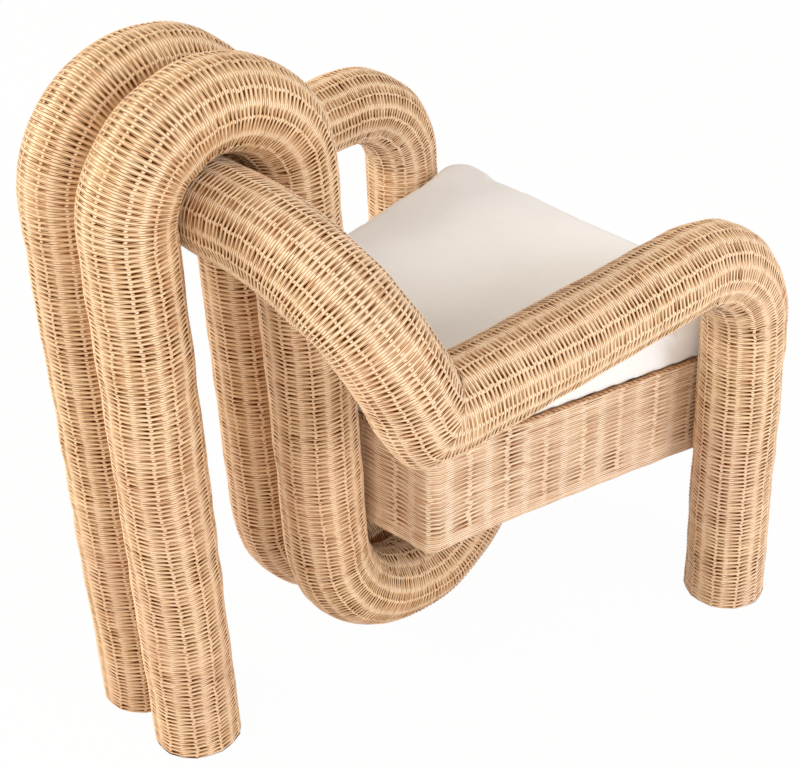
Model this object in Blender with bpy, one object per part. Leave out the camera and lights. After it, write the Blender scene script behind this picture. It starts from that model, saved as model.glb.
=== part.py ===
"""Rattan lounge armchair: two woven hoops carry the back, one long woven tube makes front legs,
arms and back rail, and a woven seat box with a loose cushion hangs between them.
Metres, +Z up, the sitter faces -Y, the chair is symmetric about X = 0 and stands on Z = 0."""

import math

import bmesh
import bpy
from mathutils import Vector

for item in list(bpy.data.objects):
    bpy.data.objects.remove(item)

# Fits shared by the whole chair
FIT = 0.0003  # gap between pieces that touch
WEAVE_CLEAR = 0.0008  # gap between a woven tube and what is lashed against it

# Woven tube: sleeve, core pole and the hoops that hold the pole in the middle
TUBE_R = 0.0516
SLEEVE_WALL = 0.0045
CORE_R = 0.0145
FORMER_T = 0.008
SLEEVE_SIDES = 18
CORE_SIDES = 8
BEND_STEP = math.radians(11.5)

# Back hoops
HOOP_GAP = 0.0024  # between the two hoops
HOOP_FOOT_Y = 0.3211
REAR_LEG_LENGTH = 0.6736
REAR_LEG_LEAN = math.radians(2.67)
ARCH_CLEAR = 0.0007  # beside the back rail that threads the arch
ARCH_TURN = math.radians(179.17)
HOOK_R = 0.1315
HOOK_TURN = math.radians(137.45)
HOOK_FLOOR_GAP = 0.0022  # the hooks hang just clear of the floor

# Arm tube, from foot to foot over the back
ARM_FOOT_X = 0.3029
ARM_FOOT_Y = -0.3524
ARM_FRONT_Y = -0.3295
ARM_FRONT_Z = 0.5269
ARM_REAR_X = 0.2974
ARM_REAR_Y = 0.1775
ARM_REAR_Z = 0.4985
SHOULDER_X = 0.2611
RAIL_DROP = 0.0060  # back rail below the centre of the arches
FRONT_BEND_R = 0.1116
ELBOW_INNER_R = 0.0030  # the weave is crushed tight inside the elbow
ELBOW_EDGE = math.radians(8)  # how far the outer corner of the elbow is rounded over
SHOULDER_BEND_R = 0.1780

# Feet
FOOT_LIFT = 0.0020  # the weave ends just above the floor
GLIDE_R = 0.0300
GLIDE_T = 0.0060
PLUG_DEPTH = 0.0280

# Seat box
SEAT_BOTTOM = 0.1965
SEAT_HEIGHT = 0.1360
SEAT_FRONT_Y = -0.3994
SEAT_REAR_HALF = 0.1745
SEAT_CORNER_R = 0.0240
APRON_T = 0.0070
TRIM_OUT = 0.0012  # border and binding stand proud of the weave
BORDER_H = 0.0070
BINDING_H = 0.0110
RAIL_T = 0.0220
POST_LEG = 0.0180
SLAT_T = 0.0120
SLAT_COUNT = 6
SLAT_GAP = 0.0240
HOOK_BOARD_T = 0.0200
HOOK_BOARD_MARGIN = 0.0060
HOOK_PLUG_LENGTH = 0.0620

# Bolts
BOLT_R = 0.0040
BOLT_HEAD_R = 0.0080
BOLT_HEAD_H = 0.0050
BOLT_BITE = 0.0080  # depth past the near face of the core
HOOK_BOLT_BITE = 0.0240

# Cushion
CUSHION_INSET = 0.0060
CUSHION_EDGE_H = 0.0765
CUSHION_CROWN = 0.0170
CUSHION_CORNER_R = 0.0420
CUSHION_SOFT = 0.0160  # how far the edges draw in

# Values that follow from the sizes above
SLEEVE_IN = TUBE_R - SLEEVE_WALL
HOOP_X = TUBE_R + HOOP_GAP / 2
ARCH_R = 2 * TUBE_R + ARCH_CLEAR
ELBOW_R = TUBE_R + ELBOW_INNER_R
SEAT_TOP = SEAT_BOTTOM + SEAT_HEIGHT


def material(name, colour, roughness, metallic=0.0):
    made = bpy.data.materials.new(name)
    made.use_nodes = True
    shader = made.node_tree.nodes["Principled BSDF"]
    shader.inputs["Base Color"].default_value = (*colour, 1.0)
    shader.inputs["Roughness"].default_value = roughness
    shader.inputs["Metallic"].default_value = metallic
    return made


def add_object(name, mesh_tool, look):
    """Turns a bmesh into a named object with outward faces and one material."""
    bmesh.ops.recalc_face_normals(mesh_tool, faces=mesh_tool.faces)
    mesh = bpy.data.meshes.new(name)
    mesh_tool.to_mesh(mesh)
    mesh_tool.free()
    made = bpy.data.objects.new(name, mesh)
    bpy.context.collection.objects.link(made)
    made.data.materials.append(look)
    return made


def loft(name, rings, look, closed=False):
    """Skins rings of equal length. An open loft is capped, a closed one joins last to first."""
    tool = bmesh.new()
    rows = [[tool.verts.new(point) for point in ring] for ring in rings]
    pairs = list(zip(rows, rows[1:]))
    if closed:
        pairs.append((rows[-1], rows[0]))
    for low, high in pairs:
        for i in range(len(low)):
            j = (i + 1) % len(low)
            tool.faces.new((low[i], low[j], high[j], high[i]))
    if not closed:
        tool.faces.new(rows[0])
        tool.faces.new(rows[-1])
    return add_object(name, tool, look)


def prism(name, outline, low, high, look):
    """A flat outline (x, y) drawn up from low to high."""
    rings = [[(x, y, z) for x, y in outline] for z in (low, high)]
    return loft(name, rings, look)


def band(name, outside, inside, low, high, look):
    """An open ring between two outlines of equal length."""
    rings = [
        [(x, y, low) for x, y in outside],
        [(x, y, high) for x, y in outside],
        [(x, y, high) for x, y in inside],
        [(x, y, low) for x, y in inside],
    ]
    return loft(name, rings, look, closed=True)


def cylinder_rings(start, end, radius, sides=10):
    axis = (end - start).normalized()
    across = axis.orthogonal().normalized()
    over = axis.cross(across)
    turns = [2 * math.pi * k / sides for k in range(sides)]
    rim = [radius * (math.cos(a) * across + math.sin(a) * over) for a in turns]
    return [[start + r for r in rim], [end + r for r in rim]]


def bolt(name, head_face, axis, length, look):
    """Cap-head bolt: the head's underside stands on head_face and the shank runs along axis."""
    back = head_face - axis * BOLT_HEAD_H
    tip = head_face + axis * length
    head = cylinder_rings(back, head_face, BOLT_HEAD_R)
    shank = cylinder_rings(head_face, tip, BOLT_R)
    return loft(name, head + shank, look)


def drill(name, start, end, targets):
    """A hole for a bolt through each target, as a Boolean with a hidden cutter."""
    cutter = loft(name, cylinder_rings(start, end, BOLT_R + FIT), STEEL)
    cutter.hide_render = True
    cutter.display_type = "WIRE"
    for target in targets:
        cut = target.modifiers.new(name, "BOOLEAN")
        cut.operation = "DIFFERENCE"
        cut.solver = "EXACT"
        cut.object = cutter


# Centrelines are lists of (point, direction, swell), with a sample at each end of a straight.
# A swell is zero, or the direction and share by which a mitred bend draws its section outward.


def mitre_swell(angle, turn, edge):
    """How far a mitred corner stands out past a round bend, softened over edge at its middle."""
    half = abs(turn) / 2
    near = min(abs(angle), abs(turn) - abs(angle))
    return 1 / math.cos(math.hypot(half, edge) - math.hypot(half - near, edge))


def add_arc(samples, centre, spoke, axis, turn, edge=None):
    """A round bend, or one mitred on its outer side where edge is given."""
    steps = max(3, math.ceil(abs(turn) / BEND_STEP))
    for k in range(steps + 1):
        angle = turn * k / steps
        arm = spoke * math.cos(angle) + axis.cross(spoke) * math.sin(angle)
        heading = axis.cross(arm).normalized() * math.copysign(1.0, turn)
        swell = 1.0 if edge is None else mitre_swell(angle, turn, edge)
        samples.append((centre + arm * swell, heading, arm.normalized() * (swell - 1)))


def filleted(corners, radii, edges):
    """Straights between the corners, with a tangent bend of the given radius and edge at each."""
    samples = [(corners[0], (corners[1] - corners[0]).normalized(), Vector())]
    bends = zip(corners, corners[1:], corners[2:], radii, edges)
    for before, corner, after, radius, edge in bends:
        arriving = (corner - before).normalized()
        leaving = (after - corner).normalized()
        turn = arriving.angle(leaving)
        axis = arriving.cross(leaving).normalized()
        begin = corner - arriving * radius * math.tan(turn / 2)
        centre = begin + axis.cross(arriving) * radius
        add_arc(samples, centre, begin - centre, axis, turn, edge)
    samples.append((corners[-1], (corners[-1] - corners[-2]).normalized(), Vector()))
    return samples


def lengths(samples):
    total = [0.0]
    for first, second in zip(samples, samples[1:]):
        total.append(total[-1] + (second[0] - first[0]).length)
    return total


def stretch(samples, begin, end):
    """The part of a centreline between two lengths measured along it."""
    along = lengths(samples)
    kept = []
    for stop in (begin, end):
        for k in range(len(samples) - 1):
            if along[k] <= stop <= along[k + 1]:
                share = (stop - along[k]) / (along[k + 1] - along[k])
                spot, heading, swell = [a.lerp(b, share) for a, b in zip(samples[k], samples[k + 1])]
                kept.append((stop, (spot, heading.normalized(), swell)))
                break
    kept += [(s, sample) for s, sample in zip(along, samples) if begin < s < end]
    return [sample for _, sample in sorted(kept, key=lambda item: item[0])]


def rings_along(samples, radius, sides, low_cut=None, high_cut=None):
    """Sections square to a centreline, without twist. A cut is the level of a flat end."""
    side = Vector((1, 0, 0))
    if abs(samples[0][1].x) > 0.5:
        side = Vector((0, 1, 0))
    turns = [2 * math.pi * (k + 0.5) / sides for k in range(sides)]
    rings = []
    for spot, heading, swell in samples:
        side = (side - heading * side.dot(heading)).normalized()
        over = heading.cross(side)
        spokes = [radius * (math.cos(a) * side + math.sin(a) * over) for a in turns]
        rings.append([spot + arm + swell * swell.normalized().dot(arm) for arm in spokes])
    for index, level in ((0, low_cut), (-1, high_cut)):
        if level is not None:
            heading = samples[index][1]
            rings[index] = [p + heading * ((level - p.z) / heading.z) for p in rings[index]]
    return rings


def pipe(name, samples, outer, inner, look, low_cut=None, high_cut=None):
    """A hollow tube, open at both ends."""
    skin = rings_along(samples, outer, SLEEVE_SIDES, low_cut, high_cut)
    bore = rings_along(samples, inner, SLEEVE_SIDES, low_cut, high_cut)
    return loft(name, skin + bore[::-1], look, closed=True)


def rod(name, samples, radius, sides, look, low_cut=None, high_cut=None):
    return loft(name, rings_along(samples, radius, sides, low_cut, high_cut), look)


def former(name, samples, middle):
    """A turned wooden disc that holds the core pole in the middle of the sleeve."""
    span = stretch(samples, middle - FORMER_T / 2, middle + FORMER_T / 2)
    return pipe(name, span, SLEEVE_IN - FIT, CORE_R + FIT, WOOD)


def foot(side, samples):
    """Plug and floor glide in the open end of a leg that starts at the floor."""
    plug = stretch(samples, GLIDE_T, GLIDE_T + PLUG_DEPTH)
    pipe(f"{side}_foot_plug", plug, SLEEVE_IN - FIT, CORE_R + FIT, WOOD, GLIDE_T + FIT)
    base = samples[0][0]
    disc = cylinder_rings(Vector((base.x, base.y, 0)), Vector((base.x, base.y, GLIDE_T)), GLIDE_R, 16)
    loft(f"{side}_foot_glide", disc, NYLON)


RATTAN = material("woven_rattan", (0.72, 0.46, 0.24), 0.62)
BINDING = material("rattan_binding", (0.78, 0.55, 0.34), 0.55)
POLE = material("rattan_pole", (0.62, 0.43, 0.24), 0.5)
WOOD = material("frame_wood", (0.58, 0.42, 0.27), 0.6)
STEEL = material("zinc_steel", (0.62, 0.62, 0.6), 0.35, 1.0)
NYLON = material("nylon", (0.2, 0.16, 0.12), 0.5)
COTTON = material("cotton_canvas", (0.85, 0.82, 0.77), 0.9)

# Back hoops: foot, leaning rear leg, arch, falling tube and a hook that curls up under the seat


def hoop_line(x):
    """Centreline of one hoop in the plane at x, from the rear foot to the seat's underside."""
    sideways = Vector((1, 0, 0))
    rise = Vector((0, math.sin(REAR_LEG_LEAN), math.cos(REAR_LEG_LEAN)))
    start = Vector((x, HOOP_FOOT_Y, 0))
    samples = [(start, rise, Vector())]
    knee = start + rise * REAR_LEG_LENGTH
    centre = knee + sideways.cross(rise) * ARCH_R
    add_arc(samples, centre, knee - centre, sideways, ARCH_TURN)
    crest, fall, _ = samples[-1]
    low_side = fall.cross(sideways)
    drop = (crest.z + low_side.z * HOOK_R - HOOK_R - TUBE_R - HOOK_FLOOR_GAP) / -fall.z
    turn_in = crest + fall * drop
    hook_centre = turn_in + low_side * HOOK_R
    add_arc(samples, hook_centre, turn_in - hook_centre, sideways, -HOOK_TURN)
    tail, climb, _ = samples[-1]
    top = SEAT_BOTTOM - WEAVE_CLEAR
    samples.append((tail + climb * ((top - tail.z) / climb.z), climb, Vector()))
    return samples, centre, fall, crest


RIGHT_LINE, ARCH_CENTRE, FALL, CREST = hoop_line(-HOOP_X)
LEFT_LINE = hoop_line(HOOP_X)[0]
HOOP_LENGTHS = lengths(RIGHT_LINE)
HOOP_TOTAL = HOOP_LENGTHS[-1]
ARCH_STEPS = math.ceil(ARCH_TURN / BEND_STEP)
FALL_START = HOOP_LENGTHS[ARCH_STEPS + 1]
FALL_END = HOOP_LENGTHS[ARCH_STEPS + 2]
HOOK_BASE, HOOK_CLIMB, _ = RIGHT_LINE[-1]


def fall_y(z):
    """Y of the falling tube's centreline at a height."""
    return CREST.y + FALL.y * (z - CREST.z) / FALL.z


hoop_sleeves = {}
hoop_cores = {}
hook_plugs = {}
for side, line in (("left", LEFT_LINE), ("right", RIGHT_LINE)):
    hook_top = SEAT_BOTTOM - WEAVE_CLEAR
    hoop_sleeves[side] = pipe(
        f"hoop_sleeve_{side}", line, TUBE_R, SLEEVE_IN, RATTAN, FOOT_LIFT, hook_top
    )
    core = stretch(line, GLIDE_T, HOOP_TOTAL - HOOK_PLUG_LENGTH - FIT)
    hoop_cores[side] = rod(f"hoop_core_{side}", core, CORE_R, CORE_SIDES, POLE, GLIDE_T + FIT)
    plug = stretch(line, HOOP_TOTAL - HOOK_PLUG_LENGTH, HOOP_TOTAL)
    hook_plugs[side] = rod(
        f"hook_plug_{side}", plug, SLEEVE_IN - FIT, SLEEVE_SIDES, WOOD, None, hook_top
    )
    former(f"hoop_former_{side}_1", line, REAR_LEG_LENGTH / 2)
    former(f"hoop_former_{side}_2", line, REAR_LEG_LENGTH - FORMER_T)
    former(f"hoop_former_{side}_3", line, (FALL_START + FALL_END) / 2)
    foot(f"rear_{side}", line)

# Arm tube: front leg, arm, crushed elbow, rising shoulder and the back rail through both arches
rail_z = ARCH_CENTRE.z - RAIL_DROP
rear_leg_y = HOOP_FOOT_Y + math.tan(REAR_LEG_LEAN) * rail_z
rail_y = (rear_leg_y + fall_y(rail_z)) / 2
half_arm = [
    Vector((ARM_FOOT_X, ARM_FOOT_Y, 0)),
    Vector((ARM_FOOT_X, ARM_FRONT_Y, ARM_FRONT_Z)),
    Vector((ARM_REAR_X, ARM_REAR_Y, ARM_REAR_Z)),
    Vector((SHOULDER_X, rail_y, rail_z)),
]
elbow_turn = (half_arm[2] - half_arm[1]).angle(half_arm[3] - half_arm[2])
shoulder_turn = (half_arm[3] - half_arm[2]).angle(Vector((-1, 0, 0)))
climb_room = (half_arm[3] - half_arm[2]).length - ELBOW_R * math.tan(elbow_turn / 2)
shoulder_r = min(SHOULDER_BEND_R, 0.98 * climb_room / math.tan(shoulder_turn / 2))
arm_corners = half_arm + [Vector((-p.x, p.y, p.z)) for p in reversed(half_arm)]
half_bends = [FRONT_BEND_R, ELBOW_R, shoulder_r]
half_edges = [None, ELBOW_EDGE, None]
ARM_LINE = filleted(arm_corners, half_bends + half_bends[::-1], half_edges + half_edges[::-1])
ARM_LENGTHS = lengths(ARM_LINE)
ARM_TOTAL = ARM_LENGTHS[-1]

arm_sleeve = pipe("arm_sleeve", ARM_LINE, TUBE_R, SLEEVE_IN, RATTAN, FOOT_LIFT, FOOT_LIFT)
arm_core = rod(
    "arm_core",
    stretch(ARM_LINE, GLIDE_T, ARM_TOTAL - GLIDE_T),
    CORE_R,
    CORE_SIDES,
    POLE,
    GLIDE_T + FIT,
    GLIDE_T + FIT,
)
front_turn = (half_arm[1] - half_arm[0]).angle(half_arm[2] - half_arm[1])
leg_straight = (half_arm[1] - half_arm[0]).length - FRONT_BEND_R * math.tan(front_turn / 2)
arm_start = ARM_LENGTHS[1 + math.ceil(front_turn / BEND_STEP)]
arm_straight = (half_arm[2] - half_arm[1]).length
arm_straight -= FRONT_BEND_R * math.tan(front_turn / 2) + ELBOW_R * math.tan(elbow_turn / 2)
stations = [leg_straight - FORMER_T, arm_start + arm_straight / 2]
stations += [ARM_TOTAL / 2] + [ARM_TOTAL - s for s in reversed(stations)]
for number, station in enumerate(stations, 1):
    former(f"arm_former_{number}", ARM_LINE, station)
MIRRORED_ARM = [(spot, -heading, swell) for spot, heading, swell in reversed(ARM_LINE)]
foot("front_left", ARM_LINE)
foot("front_right", MIRRORED_ARM)

# Seat box: its rear face leans on the falling tubes and its sides run past the front legs
seat_rear_y = fall_y(SEAT_BOTTOM) - (TUBE_R + WEAVE_CLEAR + TRIM_OUT) / -FALL.z
leg_y = ARM_FOOT_Y + (ARM_FRONT_Y - ARM_FOOT_Y) * (SEAT_BOTTOM + SEAT_HEIGHT / 2) / ARM_FRONT_Z
leg_reach = TUBE_R + WEAVE_CLEAR + TRIM_OUT
to_leg_x = ARM_FOOT_X - SEAT_REAR_HALF
to_leg_y = leg_y - seat_rear_y
slant = math.atan2(to_leg_x, -to_leg_y)
slant -= math.asin(leg_reach / math.hypot(to_leg_x, to_leg_y))
SIDE_OUT = Vector((math.cos(slant), math.sin(slant)))  # outward across the left side


def side_x(inset, y):
    """Half width of the seat at a depth, moved in square to the side."""
    return SEAT_REAR_HALF - inset / SIDE_OUT.x + (seat_rear_y - y) * math.tan(slant)


def rounded_corner(corner, before, after, radius, steps=5):
    arriving = (corner - before).normalized()
    leaving = (after - corner).normalized()
    turn = arriving.angle(leaving)
    reach = radius * math.tan(turn / 2)
    begin = corner - arriving * reach
    centre = begin + Vector((-arriving.y, arriving.x)) * radius
    spoke = begin - centre
    points = []
    for k in range(steps + 1):
        c, s = math.cos(turn * k / steps), math.sin(turn * k / steps)
        points.append(centre + Vector((spoke.x * c - spoke.y * s, spoke.x * s + spoke.y * c)))
    return points


def seat_outline(inset, radius):
    """The seat's plan, counter-clockwise from the front left, moved in by inset."""
    front = SEAT_FRONT_Y + inset
    rear = seat_rear_y - inset
    plan = [
        Vector((-side_x(inset, front), front)),
        Vector((side_x(inset, front), front)),
        Vector((side_x(inset, rear), rear)),
        Vector((-side_x(inset, rear), rear)),
    ]
    points = []
    for k in range(4):
        points += rounded_corner(plan[k], plan[k - 1], plan[(k + 1) % 4], radius)
    return points


apron_low = SEAT_BOTTOM + BINDING_H + FIT
apron_high = SEAT_TOP - BORDER_H - FIT
apron_out = seat_outline(0, SEAT_CORNER_R)
apron_in = seat_outline(APRON_T, SEAT_CORNER_R - APRON_T)
trim_out = seat_outline(-TRIM_OUT, SEAT_CORNER_R + TRIM_OUT)
apron = band("seat_apron", apron_out, apron_in, apron_low, apron_high, RATTAN)
band("apron_binding", trim_out, apron_in, SEAT_BOTTOM, SEAT_BOTTOM + BINDING_H, BINDING)
band("apron_border", trim_out, apron_in, SEAT_TOP - BORDER_H, SEAT_TOP, BINDING)

# Frame inside the apron: four rails, four corner posts, a board over the hooks and slats
rail_out = APRON_T + FIT
rail_in = rail_out + RAIL_T
rail_high = SEAT_TOP - SLAT_T - FIT
post_end = RAIL_T + POST_LEG
frame_front = SEAT_FRONT_Y + rail_out
frame_rear = seat_rear_y - rail_out
frame_corner_r = SEAT_CORNER_R - rail_out
along_side = Vector((-SIDE_OUT.y, SIDE_OUT.x))  # from the front to the rear of the left side


def flipped(points, side):
    if side == "left":
        return points
    return [Vector((-p.x, p.y)) for p in reversed(points)]


def cross_rail(name, y, inward):
    """Front or rear rail between its corner posts."""
    half = side_x(rail_out, y) - post_end - FIT
    inner = y + inward * RAIL_T
    outline = [Vector((-half, y)), Vector((half, y)), Vector((half, inner)), Vector((-half, inner))]
    return prism(name, outline, SEAT_BOTTOM, rail_high, WOOD)


def corner_post(name, side, y, inward, side_leg):
    """L-shaped post: rounded outside, with a leg along each of the two rails."""
    corner = Vector((side_x(rail_out, y), y))
    up_side = along_side * inward
    inner = Vector((side_x(rail_in, y + inward * RAIL_T), y + inward * RAIL_T))
    cross_tip = corner - Vector((post_end, 0))
    side_tip = corner + up_side * side_leg
    before, after = (cross_tip, side_tip) if inward > 0 else (side_tip, cross_tip)
    ends = [cross_tip + Vector((0, inward * RAIL_T)), inner, side_tip - SIDE_OUT * RAIL_T]
    if inward > 0:
        ends.reverse()
    outline = [before] + rounded_corner(corner, before, after, frame_corner_r) + [after] + ends
    return prism(name, flipped(outline, side), SEAT_BOTTOM, rail_high, WOOD)


front_rail = cross_rail("seat_front_rail", frame_front, 1)
rear_rail = cross_rail("seat_rear_rail", frame_rear, -1)
front_corner = Vector((side_x(rail_out, frame_front), frame_front))
leg_post_end = (Vector((ARM_FOOT_X, leg_y)) - front_corner).dot(along_side) + POST_LEG
front_posts = {}
for side in ("left", "right"):
    name = f"corner_post_front_{side}"
    front_posts[side] = corner_post(name, side, frame_front, 1, leg_post_end)
    corner_post(f"corner_post_rear_{side}", side, frame_rear, -1, post_end)
    first = front_corner + along_side * (leg_post_end + FIT)
    last = Vector((side_x(rail_out, frame_rear), frame_rear)) - along_side * (post_end + FIT)
    bar = [first, last, last - SIDE_OUT * RAIL_T, first - SIDE_OUT * RAIL_T]
    prism(f"seat_side_rail_{side}", flipped(bar, side), SEAT_BOTTOM, rail_high, WOOD)

hook_reach = TUBE_R / HOOK_CLIMB.z + HOOK_BOARD_MARGIN
board_front = HOOK_BASE.y - hook_reach
board_rear = HOOK_BASE.y + hook_reach
board_plan = [
    Vector((-side_x(rail_in + FIT, board_front), board_front)),
    Vector((side_x(rail_in + FIT, board_front), board_front)),
    Vector((side_x(rail_in + FIT, board_rear), board_rear)),
    Vector((-side_x(rail_in + FIT, board_rear), board_rear)),
]
hook_board = prism("hook_board", board_plan, SEAT_BOTTOM, SEAT_BOTTOM + HOOK_BOARD_T, WOOD)

slat_inset = APRON_T + FIT
slat_start = frame_front + frame_corner_r * math.tan((math.pi / 2 + slant) / 2) + FIT
slat_end = frame_rear - frame_corner_r * math.tan((math.pi / 2 - slant) / 2) - FIT
slat_run = slat_end - slat_start
slat_width = (slat_run - (SLAT_COUNT - 1) * SLAT_GAP) / SLAT_COUNT
for number in range(SLAT_COUNT):
    near = slat_start + number * (slat_width + SLAT_GAP)
    far = near + slat_width
    slat = [
        Vector((-side_x(slat_inset, near), near)),
        Vector((side_x(slat_inset, near), near)),
        Vector((side_x(slat_inset, far), far)),
        Vector((-side_x(slat_inset, far), far)),
    ]
    prism(f"seat_slat_{number + 1}", slat, SEAT_TOP - SLAT_T, SEAT_TOP, WOOD)

# Bolts: front posts into the front legs, rear rail into the falling tubes, board into the hooks
bolt_z = (apron_low + apron_high) / 2
for side, sign in (("left", 1), ("right", -1)):
    leg_at = ARM_FOOT_Y + (ARM_FRONT_Y - ARM_FOOT_Y) * bolt_z / ARM_FRONT_Z
    out = Vector((sign * SIDE_OUT.x, SIDE_OUT.y, 0))
    leg_middle = Vector((sign * ARM_FOOT_X, leg_at, bolt_z))
    away = (ARM_FOOT_X - side_x(rail_in, leg_at)) * SIDE_OUT.x
    head_face = leg_middle - out * (away + FIT)
    length = away + FIT - CORE_R + BOLT_BITE
    bolt(f"front_bolt_{side}", head_face, out, length, STEEL)
    drill(
        f"front_bolt_hole_{side}",
        head_face - out * BOLT_HEAD_H,
        head_face + out * (length + FIT),
        [front_posts[side], apron, arm_sleeve, arm_core],
    )
    back = Vector((0, 1, 0))
    head_face = Vector((sign * HOOP_X, frame_rear - RAIL_T - FIT, bolt_z))
    length = fall_y(bolt_z) - CORE_R - head_face.y + BOLT_BITE
    bolt(f"rear_bolt_{side}", head_face, back, length, STEEL)
    drill(
        f"rear_bolt_hole_{side}",
        head_face - back * BOLT_HEAD_H,
        head_face + back * (length + FIT),
        [rear_rail, apron, hoop_sleeves[side], hoop_cores[side]],
    )
    down = Vector((0, 0, -1))
    head_face = Vector((sign * HOOP_X, HOOK_BASE.y, SEAT_BOTTOM + HOOK_BOARD_T + FIT))
    length = HOOK_BOARD_T + WEAVE_CLEAR + HOOK_BOLT_BITE
    bolt(f"hook_bolt_{side}", head_face, down, length, STEEL)
    drill(
        f"hook_bolt_hole_{side}",
        head_face - down * BOLT_HEAD_H,
        head_face + down * (length + FIT),
        [hook_board, hook_plugs[side]],
    )

# Loose cushion: boxed edge that draws in above and below, crowned top, rests on the slats
cushion_plan = seat_outline(CUSHION_INSET, CUSHION_CORNER_R)
middle = sum((p for p in cushion_plan), Vector((0, 0))) / len(cushion_plan)
half_depth = (seat_rear_y - SEAT_FRONT_Y) / 2 - CUSHION_INSET
half_width = side_x(CUSHION_INSET, (seat_rear_y + SEAT_FRONT_Y) / 2)
base_z = SEAT_TOP + FIT
edge = [(1.0, 0.0), (0.35, 0.08), (0.05, 0.24), (0.0, 0.42), (0.08, 0.66), (0.38, 0.86), (1.0, 0.97)]
layers = [(1 - CUSHION_SOFT * draw / half_depth, CUSHION_EDGE_H * rise) for draw, rise in edge]
top_scale, top_rise = layers[-1]
for k in range(1, 8):
    share = 1 - k / 8
    puff = CUSHION_EDGE_H - top_rise + CUSHION_CROWN
    layers.append((top_scale * share, top_rise + puff * (1 - share**2.4)))
layers = [(top_scale * k / 4, 0.0) for k in (1, 2, 3)] + layers
cushion_rings = []
for scale, rise in layers:
    flat = []
    for point in cushion_plan:
        arm = point - middle
        turn = math.atan2(arm.y / half_depth, arm.x / half_width)
        oval = Vector((half_width * math.cos(turn), half_depth * math.sin(turn)))
        flat.append(middle + arm.lerp(oval, max(0.0, 1 - scale)) * scale)
    cushion_rings.append([(p.x, p.y, base_z + rise) for p in flat])
loft("seat_cushion", cushion_rings, COTTON)
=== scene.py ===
import math

import bmesh
import bpy
import numpy as np
from mathutils import Matrix, Vector


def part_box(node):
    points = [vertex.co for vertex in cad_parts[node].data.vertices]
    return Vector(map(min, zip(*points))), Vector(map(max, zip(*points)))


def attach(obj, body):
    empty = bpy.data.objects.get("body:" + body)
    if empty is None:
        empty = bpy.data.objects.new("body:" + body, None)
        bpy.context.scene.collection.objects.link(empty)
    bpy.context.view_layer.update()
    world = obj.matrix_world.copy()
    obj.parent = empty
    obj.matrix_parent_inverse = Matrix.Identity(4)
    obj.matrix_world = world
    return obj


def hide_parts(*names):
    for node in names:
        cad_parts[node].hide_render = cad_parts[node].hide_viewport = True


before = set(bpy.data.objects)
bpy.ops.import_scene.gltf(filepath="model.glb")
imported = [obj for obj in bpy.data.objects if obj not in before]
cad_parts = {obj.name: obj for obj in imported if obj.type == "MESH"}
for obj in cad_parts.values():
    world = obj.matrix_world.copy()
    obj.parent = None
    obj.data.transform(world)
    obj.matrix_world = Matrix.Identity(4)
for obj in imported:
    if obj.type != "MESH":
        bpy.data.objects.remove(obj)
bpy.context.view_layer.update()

# Back hoops: two fat tubes of rattan core woven over upright stakes, each bent into a rear leg, an
# arch, a falling tube and a hook under the seat. The weft is twined in pairs square to the tube, so
# short slits, painted with shade, stand in columns on both sides of each stake and it lies closed
# between stakes.
tube_r = 0.0516
weave_in = 0.0013  # the mean surface of the weave lies this far inside the tube's full radius
hoop_x = tube_r + 0.0012
hoop_foot_y = 0.3211
rear_leg_length = 0.6736
rear_leg_lean = math.radians(2.67)
rear_leg_swell = 0.0004  # the legs were woven a little fatter towards the foot
arch_r = 2 * tube_r + 0.0007
arch_turn = math.radians(179.17)
hook_r = 0.1315
hook_turn = math.radians(137.45)
hook_low = tube_r + 0.0022
foot_lift = 0.0020
seat_bottom = 0.1965
weave_clear = 0.0008
row_pitch = 0.00282
bend_crowd = 0.2
hoop_stakes = 10
run_out = 0.004  # rows worked past a flat end, then cut back to it
hook_run_out = 0.062  # the same at the hook, which is cut on a slant
rim_in, rim_up = 0.0042, 0.0100  # the cut end of the weave, turned in over the plug
stake_hump = (0.0008, 0.0003, 0.0, 0.0003)  # rise of the front strand on a stake, beside it, between
stake_hollow = (0.0004, 0.0009, 0.0, 0.0009)  # dip of the strand behind it at the same places
groove_depth = 0.00055
ridge_h = 0.0004  # stakes and closed bands stand a little proud
lump_h, row_slip = 0.0007, 0.0011  # unevenness of the hand work, outward and along the tube
seam_rings = 120  # rings on each side of a mitre that may reach it


def straight_rows(begin, end, pitch=row_pitch, limit=None):
    """A crest and a groove for each weft row on a straight: spot, heading and limit, which is a point
    and the normal of a plane that the weave stops at."""
    count = 2 * max(1, round((end - begin).length / pitch))
    heading = (end - begin).normalized()
    return [(begin.lerp(end, (k + 0.5) / count), heading, limit) for k in range(count)]


def bent_rows(centre, spoke, axis, turn, pitch=row_pitch):
    """Rows round a bend, with a few more than on a straight: they fan out on its outer side."""
    count = 2 * max(2, round(abs(turn) * spoke.length * (1 + bend_crowd) / pitch))
    rows = []
    for k in range(count):
        angle = turn * (k + 0.5) / count
        arm = spoke * math.cos(angle) + axis.cross(spoke) * math.sin(angle)
        heading = axis.cross(arm).normalized() * math.copysign(1.0, turn)
        rows.append((centre + arm, heading, None))
    return rows


at_floor = (Vector((0, 0, foot_lift)), Vector((0, 0, -1)))


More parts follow.
